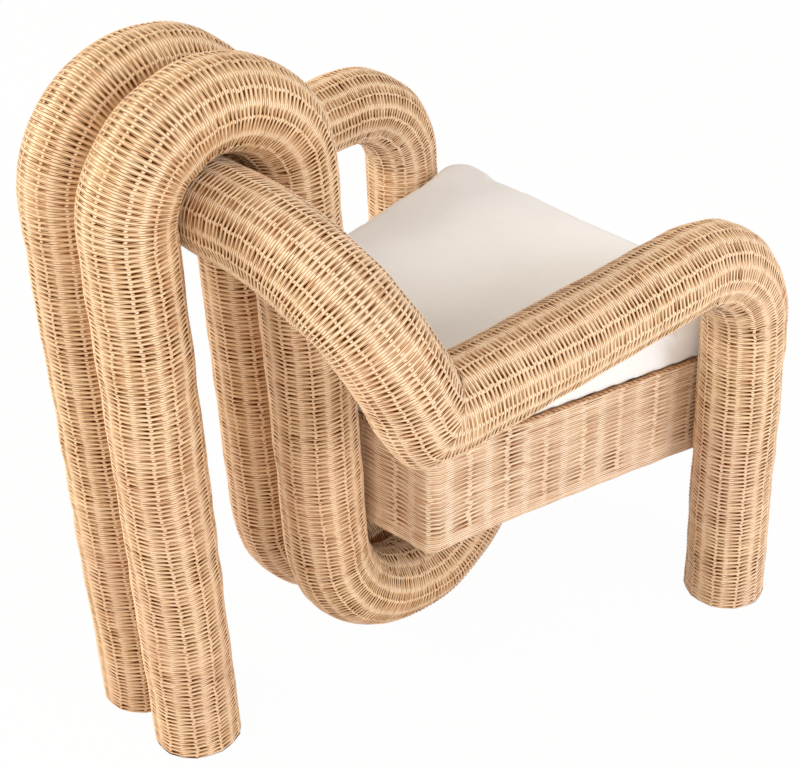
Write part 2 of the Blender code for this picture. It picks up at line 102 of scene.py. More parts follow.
def hoop_rows(x):
    """Weft rows of one hoop, from below the rear foot to above the seat's underside."""
    sideways = Vector((1, 0, 0))
    rise = Vector((0, math.sin(rear_leg_lean), math.cos(rear_leg_lean)))
    start = Vector((x, hoop_foot_y, 0))
    knee = start + rise * rear_leg_length
    centre = knee + sideways.cross(rise) * arch_r
    rows = straight_rows(start - rise * run_out, knee, limit=at_floor)
    rows += bent_rows(centre, knee - centre, sideways, arch_turn)
    crest = centre + Matrix.Rotation(arch_turn, 3, sideways) @ (knee - centre)
    fall = Matrix.Rotation(arch_turn, 3, sideways) @ rise
    inward = fall.cross(sideways)
    turn_in = crest + fall * ((crest.z + inward.z * hook_r - hook_r - hook_low) / -fall.z)
    hook_centre = turn_in + inward * hook_r
    rows += straight_rows(crest, turn_in)
    rows += bent_rows(hook_centre, turn_in - hook_centre, sideways, -hook_turn)
    climb = Matrix.Rotation(-hook_turn, 3, sideways) @ fall
    tail = hook_centre + Matrix.Rotation(-hook_turn, 3, sideways) @ (turn_in - hook_centre)
    end = tail + climb * ((seat_bottom - weave_clear - tail.z) / climb.z)
    rows += straight_rows(tail, end + climb * hook_run_out, limit=(end, Vector((0, 0, 1))))
    return rows, centre, crest, fall


def waves(along, around, chance, terms, longest, shortest):
    """A smooth uneven field from a few random sine waves, about -1 to 1."""
    field = np.zeros(np.broadcast(along, around).shape)
    for _ in range(terms):
        length = math.exp(chance.uniform(math.log(shortest), math.log(longest)))
        turns = chance.integers(0, 4)
        phase = chance.uniform(0, 2 * math.pi)
        field += np.sin(2 * math.pi * along / length + turns * around + phase)
    return field / math.sqrt(terms / 2) / 1.6


def over_and_under(chance, rings, stakes, boldness):
    """Weft twined in pairs, with a crest and a groove ring for each strand and four columns for each
    stake. The front strand humps over the stake and the one behind it leaves a hollow on both sides.
    Gives the lift of the surface and each strand's tone."""
    columns = 4 * stakes
    row = np.arange(rings) // 2
    rows = row[-1] + 1
    crest = (np.arange(rings) % 2 == 0)[:, None]
    column = np.arange(columns)
    in_front = (row % 2 == 0)[:, None]
    pull = chance.uniform(0.65, 1.15, (rows, columns))[row]
    hump = np.array(stake_hump)[column % 4] * pull
    hollow = np.array(stake_hollow)[column % 4] * pull * boldness
    lift = np.where(crest, np.where(in_front, hump, -hollow), -groove_depth)
    run = column // 8
    strand = 0.4 * chance.random(rows)[row][:, None] + 0.6 * chance.random((rows, run[-1] + 1))[row][:, run]
    tone = 0.45 * strand + 0.25 * chance.random((rows, columns))[row]
    tone = tone + 0.3 * chance.random(columns)[None, :]
    return lift, tone


def grid_mesh(name, points, strips, lead, numbers, closed=False):
    """A skin over rings of points that close on themselves: a folded unwrap for baking, a lay that
    counts stakes and rows from the ring after lead, values for the material, and no slivers. A closed
    skin joins its last ring to its first."""
    rings, columns = points.shape[:2]
    bands = rings if closed else rings - 1
    i, k = np.meshgrid(np.arange(bands), np.arange(columns), indexing="ij")
    i, k = i.ravel(), k.ravel()
    next_i, next_k = (i + 1) % rings, (k + 1) % columns
    here, there = i * columns, next_i * columns
    quads = np.stack([here + k, here + next_k, there + next_k, there + k], 1)
    mesh = bpy.data.meshes.new(name)
    mesh.from_pydata(points.reshape(-1, 3).tolist(), [], quads.tolist())
    per_strip = math.ceil(bands / strips)
    strip = i // per_strip
    low_u = (i - strip * per_strip) / per_strip
    high_u = (i + 1 - strip * per_strip) / per_strip
    low_v = (strip + 0.01 + 0.98 * k / columns) / strips
    high_v = (strip + 0.01 + 0.98 * (k + 1) / columns) / strips
    bake = np.stack([low_u, low_v, low_u, high_v, high_u, high_v, high_u, low_v], 1)
    mesh.uv_layers.new(name="OFBake").data.foreach_set("uv", bake.astype(np.float32).ravel())
    flat = np.stack([k, i, k + 1, i, k + 1, i + 1, k, i + 1], 1) * np.array([0.25, 0.5] * 4)
    flat -= np.array([0, lead / 2] * 4)
    mesh.uv_layers.new(name="lay").data.foreach_set("uv", flat.astype(np.float32).ravel())
    for label, values in numbers.items():
        layer = mesh.attributes.new(label, "FLOAT", "POINT")
        layer.data.foreach_set("value", np.ascontiguousarray(values, np.float32).ravel())
    tool = bmesh.new()
    tool.from_mesh(mesh)
    bmesh.ops.remove_doubles(tool, verts=tool.verts, dist=2e-5)
    bmesh.ops.dissolve_degenerate(tool, edges=tool.edges, dist=1e-5)
    tool.to_mesh(mesh)
    tool.free()
    mesh.shade_smooth()
    made = bpy.data.objects.new(name, mesh)
    bpy.context.collection.objects.link(made)
    return made


still_open = (Vector(), Vector())


def woven_tube(name, rows, stakes, seed, strips, girth=None, mould=None):
    """Weaves a tube over its rows, each stopped at its limit, with the rims of both ends turned in.
    Girth adds to the radius row by row and mould is a last change to the skin."""
    chance = np.random.default_rng(seed)
    centres, headings = (np.array([row[k][:] for row in rows]) for k in range(2))
    stops, faces = (np.array([(row[2] or still_open)[k][:] for row in rows]) for k in range(2))
    rings, columns = len(rows), 4 * stakes
    steps = np.linalg.norm(np.diff(centres, axis=0), axis=1)
    along = np.concatenate(([0.0], np.cumsum(steps)))[:, None]
    side, last = Vector((1, 0, 0)), rows[0][1]
    side = (side - last * side.dot(last)).normalized()
    sides = np.zeros_like(centres)
    for k, (_, heading, _) in enumerate(rows):
        side.rotate(last.rotation_difference(heading))
        sides[k], last = side, heading
    overs = np.cross(headings, sides)
    stake = np.arange(columns) / 4
    uneven = chance.uniform(-0.065, 0.065, columns)
    still = np.zeros(columns)[None, :]
    twist = 0.05 * waves(along, still, chance, 6, 1.2, 0.25)
    turn = 2 * math.pi * (stake + uneven)[None, :] / stakes + twist
    column_pull = chance.uniform(0.8, 1.15, columns)[None, :]
    boldness = np.clip(column_pull * (0.95 + 0.2 * waves(along, turn, chance, 12, 0.5, 0.05)), 0.25, 1.2)
    lift, tone = over_and_under(chance, rings, stakes, boldness)
    ridge = ridge_h * np.where(np.arange(columns) % 2 == 0, 1, -0.4)[None, :]
    radius = tube_r - weave_in + ridge + lump_h * waves(along, turn, chance, 14, 0.4, 0.05)
    if girth is not None:
        radius = radius + np.array(girth)[:, None]
    slip = row_slip * waves(along, turn, chance, 8, 0.5, 0.08)
    out = np.cos(turn)[..., None] * sides[:, None] + np.sin(turn)[..., None] * overs[:, None]
    base = centres[:, None] + radius[..., None] * out
    spread = np.linalg.norm(np.gradient(base, axis=0), axis=2) / (row_pitch / 2)
    ease = np.clip((spread - 0.08) / 0.5, 0.05, 1.0)
    points = base + (lift * ease)[..., None] * out + (slip * ease)[..., None] * headings[:, None]
    past = np.maximum(((points - stops[:, None]) * faces[:, None]).sum(2), 0)
    square = (headings * faces).sum(1)
    points -= (past / np.where(square == 0, 1, square)[:, None])[..., None] * headings[:, None]
    for k in np.flatnonzero((faces[1:] * faces[:-1]).sum(1) < 0):
        seam = (points[k] + points[k + 1]) / 2
        for ring in range(k - seam_rings, k + seam_rings + 2):
            met = (past[ring] > 0) & (np.abs(faces[ring]).sum() > 0)
            points[ring][met] = seam[met]
    if mould is not None:
        points = mould(points)
    rims = []
    for first, away in ((0, headings[0]), (-1, -headings[-1])):
        lip = points[first] - rim_in * out[first]
        lip[:, 2] = points[first][:, 2]
        rims.append([lip + rim_up * away, lip])
    points = np.concatenate([rims[0], points, rims[1][::-1]])
    values = {"bold": boldness, "tone": tone, "spread": spread}
    values = {label: np.concatenate([v[:2], v, v[-2:]]) for label, v in values.items()}
    return grid_mesh(name, points, strips, 2, values)


def add_node(tree, kind, **settings):
    made = tree.nodes.new(kind)
    for key, value in settings.items():
        setattr(made, key, value)
    return made


def place_node(tree):
    return add_node(tree, "ShaderNodeTexCoord").outputs["Object"]


def mesh_value(tree, label):
    return add_node(tree, "ShaderNodeAttribute", attribute_name=label).outputs["Fac"]


def ramp_node(tree, stops):
    """A colour ramp from (position, colour) stops."""
    made = add_node(tree, "ShaderNodeValToRGB")
    ramp = made.color_ramp
    while len(ramp.elements) < len(stops):
        ramp.elements.new(0.5)
    for element, (position, colour) in zip(ramp.elements, stops):
        element.position = position
        element.color = (*colour, 1.0)
    return made


def noise_node(tree, vector, scale, detail):
    made = add_node(tree, "ShaderNodeTexNoise")
    made.inputs["Scale"].default_value = scale
    made.inputs["Detail"].default_value = detail
    tree.links.new(vector, made.inputs["Vector"])
    return made.outputs["Fac"]


def stretched(tree, vector, scale):
    made = add_node(tree, "ShaderNodeMapping")
    made.inputs["Scale"].default_value = scale
    tree.links.new(vector, made.inputs["Vector"])
    return made.outputs["Vector"]


def spread_node(tree, value, low, high, start=0.0, end=1.0, easing="LINEAR"):
    """Value from start to end, spread over low to high."""
    made = add_node(tree, "ShaderNodeMapRange", interpolation_type=easing)
    for label, number in (("From Min", start), ("From Max", end), ("To Min", low), ("To Max", high)):
        made.inputs[label].default_value = number
    tree.links.new(value, made.inputs["Value"])
    return made.outputs["Result"]


def sum_node(tree, first, second, operation="ADD"):
    made = add_node(tree, "ShaderNodeMath", operation=operation)
    for socket, item in zip(made.inputs, (first, second)):
        if isinstance(item, (int, float)):
            socket.default_value = item
        else:
            tree.links.new(item, socket)
    return made.outputs[0]


def blend_node(tree, factor, first, second, blend_type="MIX"):
    made = add_node(tree, "ShaderNodeMix", data_type="RGBA", blend_type=blend_type)
    colours = [socket for socket in made.inputs if socket.type == "RGBA"]
    for socket, item in ((made.inputs["Factor"], factor), (colours[0], first), (colours[1], second)):
        if isinstance(item, (int, float)):
            socket.default_value = item
        elif isinstance(item, tuple):
            socket.default_value = (*item, 1.0)
        else:
            tree.links.new(item, socket)
    return next(socket for socket in made.outputs if socket.type == "RGBA")


def bump_node(tree, shader, height, strength, distance):
    made = add_node(tree, "ShaderNodeBump")
    made.inputs["Strength"].default_value = strength
    made.inputs["Distance"].default_value = distance
    tree.links.new(height, made.inputs["Height"])
    tree.links.new(made.outputs["Normal"], shader.inputs["Normal"])


def new_finish(name):
    made = bpy.data.materials.new(name)
    made.use_nodes = True
    return made, made.node_tree, made.node_tree.nodes["Principled BSDF"]


def tint(red, green, blue):
    """A colour as seen on screen, 0 to 255, in the linear values that shaders take."""
    channels = [c / 255 for c in (red, green, blue)]
    return tuple(c / 12.92 if c <= 0.04045 else ((c + 0.055) / 1.055) ** 2.4 for c in channels)


def smooth_step(tree, value, start, end, low, high):
    """Value eased from low at start to high at end."""
    return spread_node(tree, value, low, high, start, end, "SMOOTHSTEP")


def slit_pattern(tree, lay):
    """Where the weave opens: a slit on every other strand, blunt beside the stake and closing half-way
    to the next one, and a shallow groove between strands, both painted with shade. Every other one ends
    where a bend packs them. Gives the painted shade, where the weave lies closed for a painted
    highlight, luck and the round of each strand."""
    stray = add_node(tree, "ShaderNodeTexNoise")
    stray.inputs["Scale"].default_value = 0.55
    stray.inputs["Detail"].default_value = 2.0
    tree.links.new(lay, stray.inputs["Vector"])
    off = add_node(tree, "ShaderNodeVectorMath", operation="MULTIPLY_ADD")
    tree.links.new(stray.outputs["Color"], off.inputs[0])
    off.inputs[1].default_value = (0.25, 0.7, 0)
    tree.links.new(lay, off.inputs[2])
    parts = add_node(tree, "ShaderNodeSeparateXYZ")
    tree.links.new(off.outputs[0], parts.inputs[0])
    across = sum_node(tree, parts.outputs["X"], 0.125, "SUBTRACT")
    up = sum_node(tree, parts.outputs["Y"], 0.35, "SUBTRACT")
    room = mesh_value(tree, "spread")
    room = sum_node(tree, room, spread_node(tree, stray.outputs["Fac"], -0.12, 0.12, 0.3, 0.7))
    packed = sum_node(tree, sum_node(tree, room, 0.56, "LESS_THAN"), 0.5, "MULTIPLY")
    up = sum_node(tree, up, sum_node(tree, 1.0, packed, "SUBTRACT"), "MULTIPLY")
    stake, row = sum_node(tree, across, 0.0, "ROUND"), sum_node(tree, up, 0.0, "ROUND")
    beside = sum_node(tree, sum_node(tree, across, stake, "SUBTRACT"), 0.0, "ABSOLUTE")
    off_row = sum_node(tree, sum_node(tree, up, row, "SUBTRACT"), 0.0, "ABSOLUTE")
    behind = sum_node(tree, row, 2.0, "FLOORED_MODULO")
    half_gap = sum_node(tree, sum_node(tree, across, 2.0, "MULTIPLY"), 0.0, "FLOOR")
    cell = add_node(tree, "ShaderNodeCombineXYZ")
    tree.links.new(half_gap, cell.inputs["X"])
    tree.links.new(row, cell.inputs["Y"])
    luck = add_node(tree, "ShaderNodeTexWhiteNoise", noise_dimensions="2D")
    tree.links.new(cell.outputs[0], luck.inputs["Vector"])
    luck = luck.outputs["Value"]
    bold = mesh_value(tree, "bold")
    wedge = spread_node(tree, beside, 0.37, 0.09, 0.06, 0.42)
    wedge = sum_node(tree, wedge, smooth_step(tree, beside, 0.03, 0.08, 0.0, 1.0), "MULTIPLY")
    wedge = sum_node(tree, wedge, smooth_step(tree, beside, 0.36, 0.45, 1.0, 0.0), "MULTIPLY")
    wedge = sum_node(tree, wedge, spread_node(tree, luck, 0.75, 1.15), "MULTIPLY")
    wedge = sum_node(tree, wedge, spread_node(tree, bold, 0.35, 1.1), "MULTIPLY")
    wedge = sum_node(tree, wedge, spread_node(tree, room, 1.0, 0.4, 1.0, 1.5), "MULTIPLY")
    # painted shade in each slit where the weave opens, darkened as a recess in shadow
    painted_slit_shade = smooth_step(tree, sum_node(tree, off_row, wedge, "SUBTRACT"), -0.07, 0.04, 1.0, 0.0)
    painted_slit_shade = sum_node(tree, sum_node(tree, painted_slit_shade, bold, "MULTIPLY"), behind, "MULTIPLY")
    # painted shade in the groove between strands
    groove = smooth_step(tree, off_row, 0.22, 0.5, 0.0, 0.72)
    groove = sum_node(tree, groove, spread_node(tree, luck, 0.6, 1.2), "MULTIPLY")
    # closed: where the weave lies shut, on and midway between stakes, given a painted highlight in the
    # colour
    on_stake = smooth_step(tree, beside, 0.04, 0.10, 0.6, 0.0)
    closed = sum_node(tree, smooth_step(tree, beside, 0.38, 0.47, 0.0, 1.0), on_stake, "MAXIMUM")
    crown = spread_node(tree, sum_node(tree, off_row, off_row, "MULTIPLY"), 1.0, 0.0, 0.0, 0.25)
    return sum_node(tree, painted_slit_shade, groove, "MAXIMUM"), closed, luck, crown


def woven_rattan(name, straw, tan, rosy, rosy_low, rosy_high):
    """Rattan core weft: each strand its own tone, fine fibres along it, painted shade where it opens and
    between strands, a painted highlight where it lies closed, a few amber floats, and a rosy cast from
    rosy_high down to rosy_low."""
    made, tree, shader = new_finish(name)
    tone = mesh_value(tree, "tone")
    spot = place_node(tree)
    lay = add_node(tree, "ShaderNodeUVMap", uv_map="lay").outputs["UV"]
    painted_weave_shade, closed, luck, crown = slit_pattern(tree, lay)
    streak = noise_node(tree, stretched(tree, lay, (2.4, 2.4, 1)), 1.0, 4.0)
    patch = noise_node(tree, spot, 7.0, 2.0)
    stain = noise_node(tree, spot, 38.0, 3.0)
    pale = tuple(0.82 * c + 0.18 for c in straw)
    strand = ramp_node(tree, [(0.0, tan), (0.5, straw), (1.0, pale)])
    mottle = sum_node(tree, tone, spread_node(tree, streak, -0.25, 0.25, 0.3, 0.7))
    mottle = sum_node(tree, mottle, spread_node(tree, stain, -0.15, 0.15, 0.3, 0.7))
    # painted highlight where the weave lies closed, and painted shade beside the stakes where it opens
    mottle = sum_node(tree, mottle, spread_node(tree, closed, -0.12, 0.44))
    tree.links.new(mottle, strand.inputs["Fac"])
    height = add_node(tree, "ShaderNodeSeparateXYZ")
    tree.links.new(spot, height.inputs[0])
    blush = spread_node(tree, height.outputs["Z"], 0.7, 0.1, rosy_low, rosy_high)
    blush = sum_node(tree, blush, smooth_step(tree, patch, 0.38, 0.62, 0.1, 1.0), "MULTIPLY")
    colour = blend_node(tree, blush, strand.outputs["Color"], rosy)
    colour = blend_node(tree, smooth_step(tree, luck, 0.97, 0.98, 0.0, 0.30), colour, tint(206, 128, 62))
    # painted shade ramp: white where the weave is shut, to brown and near black in slits and grooves
    painted_shade_ramp = ramp_node(tree, [
        (0.0, (1, 1, 1)),
        (0.25, (0.86, 0.79, 0.70)),
        (0.50, (0.55, 0.39, 0.25)),
        (0.75, (0.22, 0.100, 0.038)),
        (1.0, (0.070, 0.028, 0.009)),
    ])
    tree.links.new(painted_weave_shade, painted_shade_ramp.inputs["Fac"])
    colour = blend_node(tree, 1.0, colour, painted_shade_ramp.outputs["Color"], "MULTIPLY")
    tree.links.new(colour, shader.inputs["Base Color"])
    tree.links.new(spread_node(tree, streak, 0.44, 0.64), shader.inputs["Roughness"])
    tree.links.new(spread_node(tree, painted_weave_shade, 0.6, 0.0), shader.inputs["Specular IOR Level"])
    hollow = sum_node(tree, sum_node(tree, streak, 0.12, "MULTIPLY"), painted_weave_shade, "SUBTRACT")
    bump_node(tree, shader, sum_node(tree, hollow, crown), 0.45, 0.0009)
    return made


honey_weave = woven_rattan(
    "honey_woven_rattan", tint(239, 207, 168), tint(204, 161, 118), tint(232, 197, 168), 0.20, 0.75
)
one_hoop, arch_centre, fall_top, fall = hoop_rows(0.0)
on_leg = [spot.y > arch_centre.y and spot.z < rear_leg_length for spot, _, _ in one_hoop]
leg_girth = [
    rear_leg_swell * (1 - row[0].z / rear_leg_length) if on else 0.0 for row, on in zip(one_hoop, on_leg)
]
for side, x, seed in (("left", hoop_x, 11), ("right", -hoop_x, 23)):
    rows = [(spot + Vector((x, 0, 0)), heading, limit) for spot, heading, limit in one_hoop]
    weave = woven_tube(f"hoop_weave_{side}", rows, hoop_stakes, seed, 3, girth=leg_girth)
    weave.data.materials.append(honey_weave)
    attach(weave, "root")
    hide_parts(f"hoop_sleeve_{side}")

# Arm tube: one woven tube from foot to foot. Front leg, arm, an elbow crushed to a mitre, a swept
# shoulder and the back rail that threads both hoops, worked like the hoops in a paler colour.
arm_foot = Vector((0.3029, -0.3524, 0))
arm_front = Vector((0.3029, -0.3295, 0.5269))
arm_rear = Vector((0.2974, 0.1775, 0.4985))
shoulder_x = 0.2611
rail_drop = 0.0060
front_bend_r = 0.1116
elbow_r = tube_r + 0.0030
elbow_edge = math.radians(8)  # how far the outer corner of the elbow is rounded over
elbow_reach = 0.16
mitre_run = 1.04 * tube_r  # rows run on past the elbow's corner by this, times the slope of the mitre
shoulder_bend_r = 0.1780
arm_pitch = 0.00282
arm_stakes = 10


def filleted_rows(corners, radii):
    """Rows along straights with a tangent bend at each inner corner. At a corner without a radius the
    rows of both straights run square up to the mitre between them."""
    rows = []
    reached, limit = corners[0], at_floor
    for before, corner, after, radius in zip(corners, corners[1:], corners[2:], radii):
        arriving = (corner - before).normalized()
        leaving = (after - corner).normalized()
        turn = arriving.angle(leaving)
        axis = arriving.cross(leaving).normalized()
        run = (radius or mitre_run) * math.tan(turn / 2)
        if radius is None:
            across = (arriving + leaving).normalized()
            middle = reached.lerp(corner, 0.5)
            rows += straight_rows(reached, middle, arm_pitch, limit)
            rows += straight_rows(middle, corner + arriving * run, arm_pitch, (corner, across))
            reached, limit = corner - leaving * run, (corner, -across)
        else:
            begin = corner - arriving * run
            centre = begin + axis.cross(arriving) * radius
            rows += straight_rows(reached, begin, arm_pitch, limit)
            rows += bent_rows(centre, begin - centre, axis, turn, arm_pitch)
            reached, limit = corner + leaving * run, None
    return rows + straight_rows(reached, corners[-1], arm_pitch, at_floor)


def rounded_elbows(points):
    """Draws the sharp outer corner of each mitred elbow in to the rounded one."""
    for before, corner, after in elbows:
        arriving, leaving = (corner - before).normalized(), (after - corner).normalized()
        half_turn = arriving.angle(leaving) / 2
        axis = np.array(arriving.cross(leaving).normalized())
        toward = np.array((arriving - leaving).normalized())
        centre = np.array(corner) - toward * elbow_r / math.cos(half_turn)
        arm = points - centre
        flat = arm - (arm @ axis)[..., None] * axis
        swing = np.arccos(np.clip(flat @ toward / np.maximum(np.linalg.norm(flat, axis=2), 1e-9), -1, 1))
        near = np.linalg.norm(points - np.array(corner), axis=2) < elbow_reach
        inner = np.where(near, np.clip(half_turn - swing, 0, half_turn), 0)
        soft = math.hypot(half_turn, elbow_edge) - np.hypot(half_turn - inner, elbow_edge)
        points = points + (np.cos(inner) / np.cos(soft) - 1)[..., None] * flat
    return points


def fall_line_y(z):
    """Where the middle of the falling tubes stands at a height."""
    return fall_top.y + fall.y * (z - fall_top.z) / fall.z


rail_z = arch_centre.z - rail_drop
rail_y = (hoop_foot_y + math.tan(rear_leg_lean) * rail_z + fall_line_y(rail_z)) / 2
below_floor = arm_foot - (arm_front - arm_foot).normalized() * run_out
half = [below_floor, arm_front, arm_rear, Vector((shoulder_x, rail_y, rail_z))]
arm_corners = half + [Vector((-p.x, p.y, p.z)) for p in reversed(half)]
radii = [front_bend_r, None, shoulder_bend_r]
arm_rows = filleted_rows(arm_corners, radii + radii[::-1])
elbows = [arm_corners[1:4], arm_corners[4:7]]
arm_weave = woven_tube("arm_weave", arm_rows, arm_stakes, 37, 4, mould=rounded_elbows)
pale_weave = woven_rattan(
    "pale_woven_rattan", tint(246, 217, 181), tint(212, 171, 129), tint(240, 207, 182), 0.20, 0.75
)
arm_weave.data.materials.append(pale_weave)
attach(arm_weave, "root")
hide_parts("arm_sleeve")

# Inside the tubes: peeled rattan poles bent to the same line, held in the middle of the weave by
# turned wooden discs, with wooden plugs in the open ends. All are glued and pinned out of sight.


def weighted(tree, first, share, second, rest):
    first, second = sum_node(tree, first, share, "MULTIPLY"), sum_node(tree, second, rest, "MULTIPLY")
    return sum_node(tree, first, second)


def peeled_pole(name):
    """Smooth rattan pole: long pale fibres under slow clouds of tone, a dull polish."""
    made, tree, shader = new_finish(name)
    spot = place_node(tree)
    fibre = noise_node(tree, stretched(tree, spot, (420, 420, 24)), 1.0, 3.0)
    cloud = noise_node(tree, spot, 16.0, 2.0)
    deep, mid, pale = tint(176, 132, 84), tint(208, 170, 122), tint(224, 192, 148)
    cane = ramp_node(tree, [(0.25, deep), (0.55, mid), (0.8, pale)])
    tree.links.new(weighted(tree, fibre, 0.6, cloud, 0.4), cane.inputs["Fac"])
    tree.links.new(cane.outputs["Color"], shader.inputs["Base Color"])
    tree.links.new(spread_node(tree, fibre, 0.36, 0.56), shader.inputs["Roughness"])
    bump_node(tree, shader, fibre, 0.2, 0.0004)
    return made


def sawn_wood(name, grain):
    """Planed hardwood with its grain along one axis: growth bands, fine pores, a dull oil finish."""
    made, tree, shader = new_finish(name)
    spot = place_node(tree)
    along = tuple(6 if axis == grain else 90 for axis in "XYZ")
    pores = tuple(40 if axis == grain else 1400 for axis in "XYZ")
    bands = noise_node(tree, stretched(tree, spot, along), 1.0, 4.0)
    pore = noise_node(tree, stretched(tree, spot, pores), 1.0, 2.0)
    deep, mid, pale = tint(150, 106, 66), tint(190, 148, 102), tint(208, 170, 126)
    timber = ramp_node(tree, [(0.3, deep), (0.5, mid), (0.7, pale)])
    tree.links.new(sum_node(tree, bands, spread_node(tree, pore, -0.08, 0.08)), timber.inputs["Fac"])
    tree.links.new(timber.outputs["Color"], shader.inputs["Base Color"])
    tree.links.new(spread_node(tree, bands, 0.5, 0.68), shader.inputs["Roughness"])
    bump_node(tree, shader, pore, 0.2, 0.0004)
    return made


pole = peeled_pole("peeled_rattan_pole")
wood = {axis: sawn_wood(f"hardwood_along_{axis.lower()}", axis) for axis in "XYZ"}


def grain_axis(node):
    """The axis along which a timber piece is longest."""
    low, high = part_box(node)
    return max("XYZ", key=lambda axis: high["XYZ".index(axis)] - low["XYZ".index(axis)])


def refinish(words, finish):
    """Gives every kept solid whose name holds one of the words a finish, chosen by its name."""
    for node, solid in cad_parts.items():
        if any(word in node for word in words):
            solid.material_slots[0].material = finish(node)


refinish(("_core",), lambda node: pole)
refinish(("_former", "_plug"), lambda node: wood["Z"])

# Floor glides: moulded nylon discs nailed to the plugs under the four feet. They carry the chair
# and keep the ends of the weave just clear of the floor.


def speckled(name, grain, deep, pale, rough, bump):
    """A plain finish whose colour, roughness and relief follow one fine speckle."""
    made, tree, shader = new_finish(name)
    speck = noise_node(tree, place_node(tree), *grain)
    ramp = ramp_node(tree, [(0.3, deep), (0.7, pale)])
    tree.links.new(speck, ramp.inputs["Fac"])
    tree.links.new(ramp.outputs["Color"], shader.inputs["Base Color"])
    tree.links.new(spread_node(tree, speck, *rough), shader.inputs["Roughness"])
    bump_node(tree, shader, speck, *bump)
    return made, shader


glide_nylon, _ = speckled(
    "brown_nylon", (260.0, 4.0), tint(58, 46, 37), tint(84, 68, 54), (0.38, 0.62), (0.15, 0.0003)
)
refinish(("_glide",), lambda node: glide_nylon)

# Seat frame: a hardwood box of four rails and four corner posts, a board that the hooks are bolted
# to and six slats that carry the cushion. It is screwed and glued, and hidden by the apron.
refinish(("_rail", "corner_post", "hook_board", "seat_slat"), lambda node: wood[grain_axis(node)])

# Bolts: zinc plated steel with cap heads. They hold the seat frame to the chair: the front posts to
# the legs, the rear rail to the falling tubes and the board to the hooks.
zinc, shader = speckled(
    "zinc_plate", (900.0, 2.0), tint(176, 178, 180), tint(206, 207, 206), (0.24, 0.42), (0.1, 0.0002)
)
shader.inputs["Metallic"].default_value = 1.0
refinish(("_bolt_",), lambda node: zinc)

# Seat apron: a woven band of rattan core round the seat frame, worked on stakes like the tubes, with
# the rows level and the weave more open low down and at the back. It is nailed to the frame inside.
seat_height = 0.1360
seat_top = seat_bottom + seat_height
seat_front_y = -0.3994
seat_rear_half = 0.1745
seat_corner_r = 0.0200
apron_t = 0.0070
trim_out = 0.0012
apron_stake = 0.0550
apron_pitch = 0.0029
roll_under = 0.0045  # the lower edge is rounded over
smooth_low = 0.0140  # no slits in the last rows, which are wound close
smooth_sway, smooth_fade = 0.004, 0.008  # how that line wanders, and how slowly the slits start above it
edge_clear = 0.0005
low_sag = 0.0110  # the lower edge hangs a little at the back
rear_draw = 0.0040  # the rear corners are drawn in past the tubes that press on the wall
rear_flat, rear_ease, rear_reach = 0.085, 0.045, 0.070  # where that starts, how it grows and how deep
apron_lump, apron_in, row_sway = 0.0005, 0.0008, 0.0012  # unevenness, mean depth and sway of the rows

leg_reach = tube_r + weave_clear + trim_out
seat_rear_y = fall_line_y(seat_bottom) - leg_reach / -fall.z
leg_y = arm_foot.y + (arm_front.y - arm_foot.y) * (seat_bottom + seat_height / 2) / arm_front.z
to_leg = Vector((arm_foot.x - seat_rear_half, leg_y - seat_rear_y))
slant = math.atan2(to_leg.x, -to_leg.y) - math.asin(leg_reach / to_leg.length)


def seat_plan(inset, radius, steps=12):
    """The seat's plan, counter-clockwise from the front right, moved in by inset."""
    front, rear = seat_front_y + inset, seat_rear_y - inset
    front_x, rear_x = (
        seat_rear_half - inset / math.cos(slant) + (seat_rear_y - y) * math.tan(slant)
        for y in (front, rear)
    )
    plan = [Vector(p) for p in ((-front_x, front), (front_x, front), (rear_x, rear), (-rear_x, rear))]
    points = []
    for before, corner, after in zip(plan[-1:] + plan, plan, plan[1:] + plan[:1]):
        arriving = (corner - before).normalized()
        leaving = (after - corner).normalized()
        turn = arriving.angle(leaving)
        begin = corner - arriving * radius * math.tan(turn / 2)
        centre = begin + arriving.orthogonal() * radius
        spoke = begin - centre
        points += [centre + Matrix.Rotation(turn * k / steps, 2) @ spoke for k in range(steps + 1)]
    rear_wall = [Vector((x, rear)) for x in np.linspace(rear_x - radius, radius - rear_x, 24)[1:-1]]
    points[3 * (steps + 1):3 * (steps + 1)] = rear_wall
    for point in points:
        aside = min(1, max(0, (abs(point.x) - rear_flat) / rear_ease))
        back = min(1, max(0, (point.y - rear + rear_reach) / rear_reach))
        point.y -= rear_draw * aside * aside * (3 - 2 * aside) * back
    return points


def round_plan(points, shares):
    """Places and outward directions at shares of the way round a closed plan."""
    line = np.array([p[:] for p in points] + [points[0][:]])
    along = np.concatenate(([0.0], np.cumsum(np.linalg.norm(np.diff(line, axis=0), axis=1))))
    places = np.stack([np.interp(np.mod(shares, 1) * along[-1], along, line[:, k]) for k in range(2)], 1)
    nudge = 0.002 / along[-1]
    ahead, behind = (
        np.stack([np.interp(np.mod(shares + n, 1) * along[-1], along, line[:, k]) for k in range(2)], 1)
        for n in (nudge, -nudge)
    )
    heading = ahead - behind
    heading /= np.linalg.norm(heading, axis=1, keepdims=True)
    return places, np.stack([heading[:, 1], -heading[:, 0]], 1), along[-1]


